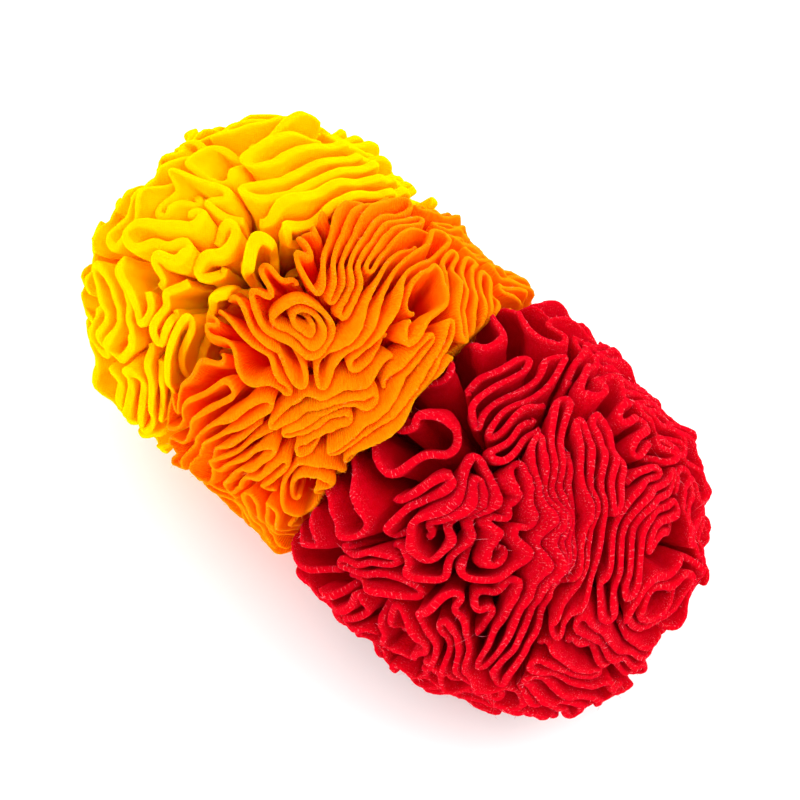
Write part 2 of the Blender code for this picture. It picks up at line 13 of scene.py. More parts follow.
import bpy
import numpy as np
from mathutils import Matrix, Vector

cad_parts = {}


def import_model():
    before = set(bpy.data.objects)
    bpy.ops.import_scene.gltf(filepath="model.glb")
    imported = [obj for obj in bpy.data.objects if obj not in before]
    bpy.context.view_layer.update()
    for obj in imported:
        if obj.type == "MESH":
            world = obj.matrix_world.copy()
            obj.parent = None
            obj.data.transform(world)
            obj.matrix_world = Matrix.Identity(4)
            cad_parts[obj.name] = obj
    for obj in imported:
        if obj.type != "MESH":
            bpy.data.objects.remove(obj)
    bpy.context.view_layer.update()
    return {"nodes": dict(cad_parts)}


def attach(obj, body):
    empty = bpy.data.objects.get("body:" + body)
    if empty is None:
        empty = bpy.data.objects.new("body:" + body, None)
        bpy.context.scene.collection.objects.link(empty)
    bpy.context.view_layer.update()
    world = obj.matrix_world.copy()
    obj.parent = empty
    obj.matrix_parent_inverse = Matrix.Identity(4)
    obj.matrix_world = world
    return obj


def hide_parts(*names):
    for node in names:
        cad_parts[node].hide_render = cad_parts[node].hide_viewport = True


Tree = bpy.types.NodeTree
Socket = bpy.types.NodeSocket
Points = np.ndarray

MM = 0.001
BODY = "root"
SEED = 1127

# The balls' hearts in millimetres, and the least height over the floor.
HEART_ACROSS = 0.12
HEART_HEIGHT = 61.0
YELLOW_HEART = (-59.48, HEART_ACROSS, HEART_HEIGHT)
ORANGE_HEART = (-14.48, HEART_ACROSS, HEART_HEIGHT)
RED_HEART = (64.52, HEART_ACROSS, HEART_HEIGHT)
LOWEST = 0.02

# The camera's angle, and the chart over its picture in which the leans are laid out.
VIEW_TURN = 46.0
VIEW_RISE = 60.0
VIEW_ROLL = 43.5
VIEW_MIDDLE = np.array([2.52, HEART_ACROSS, HEART_HEIGHT])
CHART_ALONG = 0.7
CHART_ACROSS = -2.4

# Soft irregular waves: each one's way through space, and how they differ from each other.
RIPPLE_WAYS = ((0.83, 0.41, 0.37), (-0.35, 0.86, 0.37), (0.29, -0.44, 0.85), (0.66, -0.31, -0.68))
RIPPLE_STRETCH = 0.23
RIPPLE_SHIFT = 1.7
RIPPLE_SUM = 2.4

# Reach of the mat's smooth outline from the line between its outer hearts, how far
# down from there the cloth bends, how the bend grows and how far it goes past the outline.
OUTLINE_REACH = 65.5
LEAN_DEPTH = 15.0
BEND_POWER = 1.5
BEND_LIMIT = 1.15

# How far the rims fall over in regions of their own, how broad such a region is, how
# much calmer they are on the seen side and how much a rim sinks as it falls over.
DRIFT = 4.5
DRIFT_LENGTH = 62.0
DRIFT_PHASES = (0.4, 2.9, 5.3)
SEEN_CALM = 0.4
SEEN_RATE = 1.2
SINK = 0.22

# Unevenness of the cut edge, of the rims' heights and of the cloth's faces.
FRAY_SHORT = 2.3
FRAY_LONG = 5.1
PROUD_SHORT = 21.0
PROUD_LONG = 47.0
PROUD_LONG_SHARE = 0.6
LOW_LIMIT = 0.8
TUCK_RUN = 11.0
WAVE_LENGTH = 13.0
WAVE_DEPTH = 6.0
HEART_SHARE = 0.03

# A smooth edge through a solid's corners: stations per corner, rounds of evening out,
# and the two shares of each round, which soften without shrinking.
CURVE_STATIONS = 9
EVEN_ROUNDS = 3
SOFTEN = (0.45, -0.42)

# Shift of the cloth's pattern from one strip to the next, in millimetres.
PATTERN_SHIFT = 137.0

log = logging.getLogger("snuffle_mat")


class ClothKind(Enum):
    """How a strip's cloth was made."""

    PLUSH = "thick plush fleece"
    JERSEY = "ribbed jersey"
    FLEECE = "polar fleece"


def linear(code: str) -> tuple[float, float, float, float]:
    """Turn an sRGB hex colour into linear RGBA.

    Args:
        code: Six hex digits.

    Returns:
        Red, green, blue and alpha, linear.
    """
    parts = [int(code[k : k + 2], 16) / 255 for k in (0, 2, 4)]
    low = [c / 12.92 if c <= 0.04045 else ((c + 0.055) / 1.055) ** 2.4 for c in parts]
    return (low[0], low[1], low[2], 1.0)


def unit(vectors: Points) -> Points:
    """Scale vectors to length one.

    Args:
        vectors: Any number of vectors.

    Returns:
        The vectors' directions.
    """
    return vectors / np.maximum(np.linalg.norm(vectors, axis=-1, keepdims=True), 1e-12)


def smooth_step(x: Points) -> Points:
    """Ease from 0 to 1 as x goes from 0 to 1.

    Args:
        x: Any values.

    Returns:
        The eased values.
    """
    x = np.clip(x, 0.0, 1.0)
    return x * x * (3 - 2 * x)


def lengths_along(line: Points) -> Points:
    """Add up the length along a line.

    Args:
        line: The line's points.

    Returns:
        The length up to each point.
    """
    return np.concatenate([[0], np.cumsum(np.linalg.norm(np.diff(line, axis=0), axis=1))])


def ripples(points: Points, length: float, phase: float) -> Points:
    """Soft irregular waves through space.

    Args:
        points: Places in millimetres.
        length: Typical length of a wave in millimetres.
        phase: Sets one field of waves apart from another.

    Returns:
        Heights of about -1 to 1.
    """
    turn = 2 * math.pi / length
    total = np.zeros(points.shape[:-1])
    for order, way in enumerate(RIPPLE_WAYS):
        stretch = turn * (1 + RIPPLE_STRETCH * order)
        shift = phase * (1 + order) + RIPPLE_SHIFT * order
        total = total + np.sin(points @ np.array(way) * stretch + shift)
    return total / RIPPLE_SUM


def view_axes() -> tuple[Points, Points, Points]:
    """Work out the view's directions.

    Returns:
        The chart's along and across directions and the way toward the eye.
    """
    turn, rise, roll = (math.radians(a) for a in (VIEW_TURN, VIEW_RISE, VIEW_ROLL))
    right = np.array([math.cos(turn), math.sin(turn), 0.0])
    level = math.cos(rise)
    back = np.array([math.sin(turn) * level, -math.cos(turn) * level, math.sin(rise)])
    down = -np.cross(back, right)
    along = right * math.cos(roll) + down * math.sin(roll)
    across = -right * math.sin(roll) + down * math.cos(roll)
    return along, across, back


ALONG, ACROSS, BACK = view_axes()


def add_node(
    tree: Tree, kind: str, links: dict | None = None, **settings: object
) -> bpy.types.Node:
    """Add a shader node with its settings, socket values and incoming links.

    Args:
        tree: The material's node tree.
        kind: The node's type name.
        links: Socket name or number to either an output socket or a value.
        **settings: The node's own properties.

    Returns:
        The new node.
    """
    node = tree.nodes.new(kind)
    for name, value in settings.items():
        setattr(node, name, value)
    for key, value in (links or {}).items():
        socket = node.inputs[key]
        if isinstance(value, bpy.types.NodeSocket):
            tree.links.new(value, socket)
        else:
            socket.default_value = value
    return node


def computed(tree: Tree, operation: str, *values: object) -> Socket:
    """Do one sum on sockets or numbers.

    Args:
        tree: The material's node tree.
        operation: The sum's name.
        *values: What goes into it.

    Returns:
        The result.
    """
    links = dict(enumerate(values))
    return add_node(tree, "ShaderNodeMath", links, operation=operation).outputs[0]


@dataclass(frozen=True)
class ClothFinish:
    """How one ball's cloth looks.

    The pattern sizes are real ones in millimetres. The sheet's UV map holds the
    place along the strip and the depth below its free edge, in millimetres.
    """

    name: str
    kind: ClothKind
    # face is the cloth's own colour. The fold colour is painted light: deeper down the folds the
    # colour turns to it, as painted shade (darker and redder) on the orange and red, and as a
    # painted golden glow on the yellow.
    face: str
    # The worn colour gives the cloth's mottled tone and its loose fibres' colour, and is also a
    # painted highlight on the rim.
    worn_and_rim_highlight: str
    fold_shade_and_glow: str
    lint: str
    sheen: float
    sheen_tint: str
    nap_mm: float
    nap_height_mm: float
    mottle: float
    rib_mm: float = 0.0
    lint_cover: float = 0.0
    glow: float = 0.0

    # How far red, green and blue light goes through the cloth, in metres.
    glow_reach: tuple[float, float, float] = (0.008, 0.003, 0.0015)

    # Breadths of the dye's mottling, of a speck and a clump of lint, and of a patch of ribs.
    mottle_mm: float = 2.2
    speck_mm: float = 0.55
    clump_mm: float = 7.0
    rib_patch_mm: float = 26.0

    # Depths between which painted shade and glow turn the colour to the fold colour, the painted
    # rim highlight ends and the lint thins out.
    fold_shade_range: tuple[float, float] = (2.0, 15.0)
    rim_highlight_range: tuple[float, float] = (0.2, 1.7)
    lint_range: tuple[float, float] = (0.3, 4.5)

    def material(self) -> bpy.types.Material:
        """Build the procedural cloth.

        Returns:
            The cloth's material.
        """
        made = bpy.data.materials.new(self.name)
        made.use_nodes = True
        tree = made.node_tree
        tree.nodes.clear()
        where = add_node(tree, "ShaderNodeUVMap", uv_map="cloth").outputs["UV"]
        split = add_node(tree, "ShaderNodeSeparateXYZ", {0: where})
        depth = computed(tree, "ABSOLUTE", split.outputs["Y"])
        colour = self.colour(tree, where, depth)
        height = self.relief(tree, where, split.outputs["X"])
        distance = self.nap_height_mm * MM
        relief = {"Strength": 1.0, "Distance": distance, "Height": height}
        bump = add_node(tree, "ShaderNodeBump", relief)
        links = {
            "Base Color": colour,
            "Roughness": 0.92,
            "IOR": 1.45,
            "Specular IOR Level": 0.0,
            "Sheen Weight": self.sheen,
            "Sheen Roughness": 0.45,
            "Sheen Tint": linear(self.sheen_tint),
            "Subsurface Weight": self.glow,
            "Subsurface Radius": self.glow_reach,
            "Subsurface Scale": 1.0,
            "Normal": bump.outputs["Normal"],
        }
        shader = add_node(tree, "ShaderNodeBsdfPrincipled", links)
        add_node(tree, "ShaderNodeOutputMaterial", {"Surface": shader.outputs["BSDF"]})
        return made

    def fibre_material(self) -> bpy.types.Material:
        """Build the look of single fibres pulled loose from the cloth.

        Returns:
            The fibres' material.
        """
        made = bpy.data.materials.new(self.name + "_fibres")
        made.use_nodes = True
        tree = made.node_tree
        tree.nodes.clear()
        place = add_node(tree, "ShaderNodeTexCoord").outputs["Object"]
        links = {"Vector": place, "Scale": 160.0, "Detail": 2.0}
        spread = add_node(tree, "ShaderNodeTexNoise", links).outputs[0]
        colour = self.mixed(tree, self.ranged(tree, spread, (0.4, 0.6)), self.worn_and_rim_highlight, self.lint)
        links = {"Base Color": colour, "Roughness": 0.8, "IOR": 1.53, "Specular IOR Level": 0.1}
        shader = add_node(tree, "ShaderNodeBsdfPrincipled", links)
        add_node(tree, "ShaderNodeOutputMaterial", {"Surface": shader.outputs["BSDF"]})
        return made

    def noise(
        self, tree: Tree, where: Socket, size_mm: float, detail: float, rough: float = 0.55
    ) -> Socket:
        """Noise whose lumps are size_mm across.

        Args:
            tree: The material's node tree.
            where: The place in cloth millimetres.
            size_mm: Breadth of a lump.
            detail: Number of finer layers.
            rough: Strength of the finer layers.

        Returns:
            The noise's value.
        """
        links = {"Vector": where, "Scale": 1.0 / size_mm, "Detail": detail, "Roughness": rough}
        return add_node(tree, "ShaderNodeTexNoise", links, noise_dimensions="2D").outputs[0]

    def ranged(
        self,
        tree: Tree,
        value: Socket,
        given: tuple[float, float],
        wanted: tuple[float, float] = (0.0, 1.0),
    ) -> Socket:
        """Map a value from one range to another, clamped.

        Args:
            tree: The material's node tree.
            value: The value.
            given: Where its range starts and ends.
            wanted: Where the new range starts and ends.

        Returns:
            The mapped value.
        """
        links = {"Value": value, "From Min": given[0], "From Max": given[1]}
        links |= {"To Min": wanted[0], "To Max": wanted[1]}
        return add_node(tree, "ShaderNodeMapRange", links, clamp=True).outputs[0]

    def mixed(self, tree: Tree, share: Socket, first: object, second: object) -> Socket:
        """Blend two colours, each a hex code or a socket.

        Args:
            tree: The material's node tree.
            share: How much of the second one there is.
            first: The first colour.
            second: The second colour.

        Returns:
            The blended colour.
        """
        ends = [linear(c) if isinstance(c, str) else c for c in (first, second)]
        links = {0: share, 6: ends[0], 7: ends[1]}
        return add_node(tree, "ShaderNodeMix", links, data_type="RGBA").outputs[2]

    def colour(self, tree: Tree, where: Socket, depth: Socket) -> Socket:
        """Colour the cloth, with painted shade and glow deeper down the folds and a painted
        highlight on the rim.

        Args:
            tree: The material's node tree.
            where: The place in cloth millimetres.
            depth: The depth below the free edge.

        Returns:
            The colour, with the lint on it.
        """
        lumps = self.noise(tree, where, self.mottle_mm, 3.0, 0.6)
        mottled = self.ranged(tree, lumps, (0.34, 0.66), (0.0, self.mottle))
        base = self.mixed(tree, mottled, self.face, self.worn_and_rim_highlight)
        # Painted shade and glow: deeper down the folds the colour turns to the fold colour.
        down = self.ranged(tree, depth, self.fold_shade_range)
        base = self.mixed(tree, down, base, self.fold_shade_and_glow)
        # Painted highlight: the first millimetre or two below the free edge is lightened toward
        # the worn colour.
        rim = self.ranged(tree, depth, self.rim_highlight_range, (0.55, 0.0))
        base = self.mixed(tree, rim, base, self.worn_and_rim_highlight)
        if self.lint_cover <= 0:
            return base
        specks = self.ranged(tree, self.noise(tree, where, self.speck_mm, 3.0, 0.7), (0.60, 0.72))
        near = self.ranged(tree, depth, self.lint_range, (1.0, 0.12))
        patches = self.noise(tree, where, self.clump_mm, 2.0)
        clumps = self.ranged(tree, patches, (0.36, 0.60), (0.25, 1.0))
        cover = computed(tree, "MULTIPLY", specks, near)
        cover = computed(tree, "MULTIPLY", cover, clumps)
        cover = computed(tree, "MULTIPLY", cover, self.lint_cover)
        return self.mixed(tree, cover, base, self.lint)

    def relief(self, tree: Tree, where: Socket, run: Socket) -> Socket:
        """Raise the nap, and the knit's ribs where the cloth is ribbed.

        Args:
            tree: The material's node tree.
            where: The place in cloth millimetres.
            run: The place along the strip.

        Returns:
            The height.
        """
        nap = self.noise(tree, where, self.nap_mm, 4.0, 0.65)
        if self.rib_mm <= 0:
            return nap
        wave = computed(tree, "SINE", computed(tree, "MULTIPLY", run, 2 * math.pi / self.rib_mm))
        patches = self.noise(tree, where, self.rib_patch_mm, 1.0)
        shown = self.ranged(tree, patches, (0.42, 0.58), (0.15, 0.75))
        return computed(tree, "ADD", computed(tree, "MULTIPLY", wave, shown), nap)


@dataclass(frozen=True)
class Lean:
    """Rims bent over one way, around a place in the view's chart.

    along and across place it in millimetres, head is the way the rims fall
    there in degrees, amount is how far they fall and spread how wide it reaches.
    """

    along: float
    across: float
    head: float
    amount: float
    spread: float

    def share_at(self, along: Points, across: Points) -> Points:
        """Tell how strongly this lean works at some places.

        Args:
            along: The places' first chart coordinate in millimetres.
            across: Their second one.

        Returns:
            Shares from 0, far off, to 1, at the lean's own place.
        """
        away = np.hypot(along - self.along, across - self.across)
        return np.exp(-0.5 * (away / self.spread) ** 2)

    @property
    def way(self) -> Points:
        """The direction in which the rims fall."""
        head = math.radians(self.head)
        return math.cos(head) * ALONG + math.sin(head) * ACROSS


LEANS = (
    Lean(-98, -18, 180, 16.0, 24),
    Lean(-60, -8, 10, 14.0, 22),
    Lean(-73, 40, -55, 10.0, 17),
    Lean(-20, 0, 25, 11.0, 22),
    Lean(-42, 40, 100, 8.0, 14),
    Lean(20, -8, 0, 10.0, 18),
    Lean(22, 46, 100, 7.0, 14),
    Lean(42, -50, -104, 9.0, 15),
    Lean(55, 8, -40, 13.0, 22),
    Lean(94, -8, 85, 12.0, 19),
    Lean(88, 42, 120, 7.0, 15),
)


def leaned(place: Points) -> Points:
    """Bend the rims over, all by one smooth field, so that neighbours stay apart.

    Args:
        place: Places in millimetres.

    Returns:
        The moved places.
    """
    beside = np.clip(place[..., 0], YELLOW_HEART[0], RED_HEART[0])
    level = np.broadcast_to((HEART_ACROSS, HEART_HEIGHT), (*beside.shape, 2))
    from_axis = place - np.concatenate([beside[..., None], level], -1)
    outward = unit(from_axis)
    depth = OUTLINE_REACH - np.linalg.norm(from_axis, axis=-1)
    ease = np.clip(1 - depth / LEAN_DEPTH, 0, BEND_LIMIT) ** BEND_POWER
    seen = place - VIEW_MIDDLE
    along, across = seen @ ALONG + CHART_ALONG, seen @ ACROSS + CHART_ACROSS
    facing = smooth_step(0.5 + SEEN_RATE * (outward @ BACK))
    drift = DRIFT * (1 - SEEN_CALM * facing)
    waves = [ripples(place, DRIFT_LENGTH, phase) for phase in DRIFT_PHASES]
    total = drift[..., None] * np.stack(waves, -1)
    for lean in LEANS:
        share = lean.share_at(along, across) * facing
        total = total + lean.way * (share * lean.amount)[..., None]
    total = total - outward * (total * outward).sum(-1, keepdims=True)
    sink = SINK * np.linalg.norm(total, axis=-1, keepdims=True)
    return place + (total - outward * sink) * ease[..., None]


@dataclass
class Edge:
    """A ruffle's free edge: even stations with a direction and reach from the heart."""

    towards: Points
    reach: Points

    @property
    def points(self) -> Points:
        """The edge's line about the heart, in millimetres."""
        return self.towards * self.reach[:, None]

    @property
    def run(self) -> Points:
        """Length along the edge up to each station, in millimetres."""
        return lengths_along(self.points)


def solid_edge(node: bpy.types.Object, heart: Points) -> Points:
    """Find the middle line of a packed ruffle's free edge.

    The triangles round the solid's tip give the ring of corners along its free
    edge, down one face and back up the other. The two faces' corners are paired
    where they lie nearest.

    Args:
        node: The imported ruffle, a wedge that runs from its edge to the heart.
        heart: The ball's heart in millimetres.

    Returns:
        The edge's middle line about the heart, in millimetres.
    """
    mesh = node.data
    mesh.calc_loop_triangles()
    raw = np.empty(len(mesh.vertices) * 3)
    mesh.vertices.foreach_get("co", raw)
    raw = raw.reshape(-1, 3) / MM - heart
    corners = np.empty(len(mesh.loop_triangles) * 3, np.int32)
    mesh.loop_triangles.foreach_get("vertices", corners)
    places, same = np.unique(np.round(raw, 3), axis=0, return_inverse=True)
    corners = same.reshape(-1)[corners].reshape(-1, 3)
    tip = int(np.argmin(np.linalg.norm(places, axis=1)))
    ahead: dict[int, int] = {}
    for a, b, c in corners[(corners == tip).any(axis=1)]:
        first, second = {a: (b, c), b: (c, a), c: (a, b)}[tip]
        ahead[int(first)] = int(second)
    ring = [min(ahead)]
    while ahead[ring[-1]] != ring[0]:
        ring.append(ahead[ring[-1]])
    loop = places[ring]
    count = len(loop) // 2
    steps = np.arange(count)
    spans = []
    for start in range(count):
        gap = loop[(start + steps) % len(loop)] - loop[(start - 1 - steps) % len(loop)]
        spans.append(np.linalg.norm(gap, axis=1).sum())
    start = int(np.argmin(spans))
    return (loop[(start + steps) % len(loop)] + loop[(start - 1 - steps) % len(loop)]) / 2


def curved_edge(corners: Points, step: float) -> Edge:
    """Turn an edge's corner points into a smooth line of even stations.

    Args:
        corners: The edge's middle line about the heart, in millimetres.
        step: Distance between stations.

    Returns:
        The edge.
    """
    before, after = 2 * corners[0] - corners[1], 2 * corners[-1] - corners[-2]
    padded = np.concatenate([[before], corners, [after]])
    spans = np.sqrt(np.linalg.norm(np.diff(padded, axis=0), axis=1)) + 1e-6
    knots = np.concatenate([[0], np.cumsum(spans)])
    pieces = []
    for k in range(1, len(padded) - 2):
        fine = np.linspace(knots[k], knots[k + 1], CURVE_STATIONS)[:-1, None]
        t0, t1, t2, t3 = knots[k - 1 : k + 3]
        p0, p1, p2, p3 = padded[k - 1 : k + 3]
        a1 = ((t1 - fine) * p0 + (fine - t0) * p1) / (t1 - t0)
        a2 = ((t2 - fine) * p1 + (fine - t1) * p2) / (t2 - t1)
        a3 = ((t3 - fine) * p2 + (fine - t2) * p3) / (t3 - t2)
        b1 = ((t2 - fine) * a1 + (fine - t0) * a2) / (t2 - t0)
        b2 = ((t3 - fine) * a2 + (fine - t1) * a3) / (t3 - t1)
        pieces.append(((t2 - fine) * b1 + (fine - t1) * b2) / (t2 - t1))
    line = np.concatenate([*pieces, corners[-1:]])
    for _ in range(EVEN_ROUNDS):
        run = lengths_along(line)
        even = np.linspace(0, run[-1], max(6, round(run[-1] / step)) + 1)
        line = np.stack([np.interp(even, run, line[:, k]) for k in range(3)], 1)
        for share in SOFTEN:
            ease = np.zeros_like(line)
            ease[1:-1] = (line[:-2] + line[2:]) / 2 - line[1:-1]
            line = line + share * ease
    return Edge(unit(line), np.linalg.norm(line, axis=1))


@dataclass
class RuffledBall:
    """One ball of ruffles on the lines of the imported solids.

    Sizes are in millimetres. sheet is the cloth's thickness, step the distance
    between stations along an edge, fray the unevenness of the cut edge, wave the
    waviness of the cloth's faces, rise how far some rims stand proud of others
    and tuck how deep a strip's two ends are tucked in.
    """

    name: str
    heart: tuple[float, float, float]
    sheet: float
    step: float
    fray: float
    wave: float
    rise: float
    finish: ClothFinish
    strip_depth: float = 64.0
    tuck: float = 4.0
    rims: list[Points] = field(default_factory=list)

    # Depths below the rim at which the sheet has points, and how much of its
    # thickness it has there.
    depths: tuple[float, ...] = (0.0, 0.12, 0.5, 1.3, 3.0, 5.6, 9.0, 13.0, 19.0, 60.0)
    fullness: tuple[float, ...] = (0.0, 0.62, 0.92, 1.0, 1.0, 1.0, 1.0, 1.0, 1.0, 1.0)

    def cross_section(self) -> tuple[Points, Points]:
        """Lay out the sheet's cross-section, from one face over the rim to the other.

        Returns:
            Signed depths and half thicknesses.
        """
        depths, full = np.array(self.depths), np.array(self.fullness)
        signed = np.concatenate([-depths[::-1], depths[1:]])
        half = np.concatenate([-full[::-1], full[1:]]) * self.sheet / 2
        return signed, half

    def rim_reach(self, edge: Edge, order: int) -> Points:
        """Tell how far the rim reaches, uneven, proud in places and tucked in at its ends.

        Args:
            edge: The ruffle's free edge.
            order: The ruffle's number on its ball.

        Returns:
            The reach from the heart at each station.
        """
        places = edge.points
        fray = ripples(places, FRAY_SHORT, 3.1 + order) + ripples(places, FRAY_LONG, 0.7 * order)
        proud = ripples(places, PROUD_SHORT, 1.9 * order)
        proud = self.rise * (proud + PROUD_LONG_SHARE * ripples(places, PROUD_LONG, 2.3 * order))
        from_end = np.minimum(edge.run, edge.run[-1] - edge.run)
        tucked = self.tuck * (1 - smooth_step(from_end / TUCK_RUN))
        rim = 0.5 * self.fray * fray
        return edge.reach + rim + np.maximum(proud, -LOW_LIMIT * self.rise) - tucked

    def ruffle_points(self, edge: Edge, order: int) -> tuple[Points, Points]:
        """Place the points of one ruffle's sheet.

        Args:
            edge: Its free edge.
            order: The ruffle's number on its ball.

        Returns:
            Points, stations by cross-section, in world millimetres, and each
            one's signed depth.
        """
        signed, half = self.cross_section()
        tangent = unit(np.gradient(edge.points, axis=0))
        side = unit(np.cross(edge.towards, tangent))
        reach = self.rim_reach(edge, order)
        shrink = np.minimum(reach / self.strip_depth, 1.0)
        depth = np.abs(signed)[None, :] * shrink[:, None]
        away = np.maximum(reach[:, None] - depth, HEART_SHARE * reach[:, None])
        share = away / reach[:, None]
        middle = edge.towards[:, None, :] * away[..., None]
        wave = self.wave * ripples(middle, WAVE_LENGTH, 1.3 * order)
        wave = wave * smooth_step(depth / WAVE_DEPTH) * share
        points = middle + side[:, None, :] * (half[None, :] * share + wave)[..., None]
        points = leaned(points + np.array(self.heart))
        points[..., 2] = np.maximum(points[..., 2], LOWEST)
        self.rims.append(points[:, len(signed) // 2])
        return points, np.broadcast_to(signed, depth.shape)

    def sheet_faces(self, points: Points) -> list[tuple[int, ...]]:
        """Join the sheet's points, with both of its ends closed.

        Args:
            points: Points, stations by cross-section.

        Returns:
            Faces that look outward.
        """
        stations, across = points.shape[:2]
        index = np.arange(stations * across).reshape(stations, across)
        nearer, further = index[:-1], index[1:]
        around = [nearer, np.roll(nearer, -1, 1), np.roll(further, -1, 1), further]
        quads = np.stack(around, -1).reshape(-1, 4)
        half = across // 2
        caps = []
        for row, flip in ((index[0], True), (index[-1], False)):
            pairs = [(k, across - 1 - k) for k in range(half - 1)]
            cap = [(row[k], row[k + 1], row[far - 1], row[far]) for k, far in pairs]
            caps += [quad[::-1] if flip else quad for quad in cap]
            tip = (row[half - 1], row[half], row[half + 1])
            caps.append(tip[::-1] if flip else tip)
        faces = [tuple(map(int, face)) for face in (*quads.tolist(), *caps)]
        flat = points.reshape(-1, 3)
        a, b, c = flat[quads[:, 0]], flat[quads[:, 1]], flat[quads[:, 2]]
        inward = (np.cross(b - a, c - a) * (a - flat.mean(0))).sum() < 0
        return [face[::-1] for face in faces] if inward else faces

    def ruffle(self, node: bpy.types.Object, order: int) -> tuple[bpy.types.Object, Edge]:
        """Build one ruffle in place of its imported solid.

        Args:
            node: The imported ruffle.
            order: Its number on the ball.

        Returns:
            The finished sheet and its edge.
        """
        edge = curved_edge(solid_edge(node, np.array(self.heart)), self.step)
        points, signed = self.ruffle_points(edge, order)
        faces = self.sheet_faces(points)
        mesh = bpy.data.meshes.new(node.name + "_cloth")
        mesh.from_pydata((points.reshape(-1, 3) * MM).tolist(), [], faces)
        mesh.polygons.foreach_set("use_smooth", np.ones(len(faces), bool))
        corner = np.empty(len(mesh.loops), np.int32)
        mesh.loops.foreach_get("vertex_index", corner)
        along = np.repeat(edge.run + PATTERN_SHIFT * order, points.shape[1])
        cloth = np.stack([along, signed.reshape(-1)], 1)[corner].astype(np.float32)
        mesh.uv_layers.new(name="cloth").data.foreach_set("uv", cloth.reshape(-1))
        mesh.update()
        made = bpy.data.objects.new(node.name + "_cloth", mesh)
        bpy.context.collection.objects.link(made)
        return made, edge

    def build(self, nodes: dict[str, bpy.types.Object]) -> list[bpy.types.Object]:
        """Build and dress every ruffle of the ball.

        Args:
            nodes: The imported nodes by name.

        Returns:
            The ball's sheets.
        """
        log.info("%s ball in %s", self.name, self.finish.kind.value)
        cloth = self.finish.material()
        made = []
        mine = sorted(name for name in nodes if name.startswith(self.name + "_"))
        for order, name in enumerate(mine):
            piece, edge = self.ruffle(nodes[name], order)
            piece.data.materials.append(cloth)
            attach(piece, BODY)
            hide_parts(name)
            made.append(piece)
        return made


@dataclass
class LooseFibres:
    """Fibres pulled loose from the cut edges of one ball, drawn thick enough to show.

    Sizes are in millimetres. short is the usual length, long that of the few
    stray hairs, lift how much the fibres stand up from the rim, tangle how much
    their ways differ, curl how much they bend and scatter how far from the rim's
    middle they start.
    """

    ball: RuffledBall
    count: int
    short: float
    long: float
    strays: int
    lift: float
    radius: float = 0.055
    tangle: float = 0.45
    curl: float = 0.5
    scatter: float = 0.25
    rooted: float = 0.15

    def courses(self) -> tuple[Points, Points, Points, Points]:
        """Choose each fibre's course.

        Returns:
            Where each fibre starts, its way, its bend and its length.
        """
        pick = np.random.default_rng(SEED + self.count)
        rims = self.ball.rims
        tangents = np.concatenate([unit(np.gradient(rim, axis=0)) for rim in rims])
        starts = np.concatenate(rims)
        chosen = pick.integers(0, len(starts), self.count)
        outward = unit(starts[chosen] - np.array(self.ball.heart))
        loose = pick.normal(size=(self.count, 3))
        forward = pick.choice((-1.0, 1.0), size=(self.count, 1))
        way = unit(tangents[chosen] * forward + self.lift * outward + self.tangle * loose)
        bend = pick.normal(size=(self.count, 3)) * self.curl
        length = self.short * (0.5 + pick.random(self.count) ** 2)
        length[: self.strays] = self.long * (0.6 + 0.4 * pick.random(self.strays))
        scatter = pick.normal(size=(self.count, 3)) * self.scatter
        start = starts[chosen] + scatter - outward * self.rooted
        return start, way, bend, length

    def spindles(self) -> Points:
        """Place the points of thin spindles along the courses.

        Returns:
            Points, fibres by points of one spindle: its end, two rings of three, its end.
        """
        start, way, bend, length = self.courses()
        outward = unit(start - np.array(self.ball.heart))
        first = unit(np.cross(way, outward + 0.01))
        second = np.cross(way, first)
        shares = (0.0, 0.3, 0.65, 1.0)
        reach = length[:, None]
        middles = [start + (way * share + bend * share * share) * reach for share in shares]
        turns = [2 * math.pi * k / 3 for k in range(3)]
        spokes = np.stack([math.cos(t) * first + math.sin(t) * second for t in turns], 1)
        rings = [middles[0][:, None]]
        for middle, thick in ((middles[1], 1.0), (middles[2], 0.8)):
            rings.append(middle[:, None] + spokes * self.radius * thick)
        rings.append(middles[3][:, None])
        points = np.concatenate(rings, axis=1)
        points[..., 2] = np.maximum(points[..., 2], LOWEST)
        return points

    def build(self) -> bpy.types.Object:
        """Make all the fibres as one piece of thin closed spindles.

        Returns:
            The piece.
        """
        points = self.spindles()
        one = [(0, 2, 1), (0, 3, 2), (0, 1, 3), (7, 4, 5), (7, 5, 6), (7, 6, 4)]
        one += [(1, 2, 5, 4), (2, 3, 6, 5), (3, 1, 4, 6)]
        each = points.shape[1]
        firsts = range(0, each * self.count, each)
        faces = [tuple(first + corner for corner in face) for first in firsts for face in one]
        name = f"{self.ball.name}_loose_fibres"
        mesh = bpy.data.meshes.new(name)
        mesh.from_pydata((points.reshape(-1, 3) * MM).tolist(), [], faces)
        mesh.materials.append(self.ball.finish.fibre_material())
        made = bpy.data.objects.new(name, mesh)
        bpy.context.collection.objects.link(made)
        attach(made, BODY)
        log.info("%s: %d fibres", name, self.count)
        return made


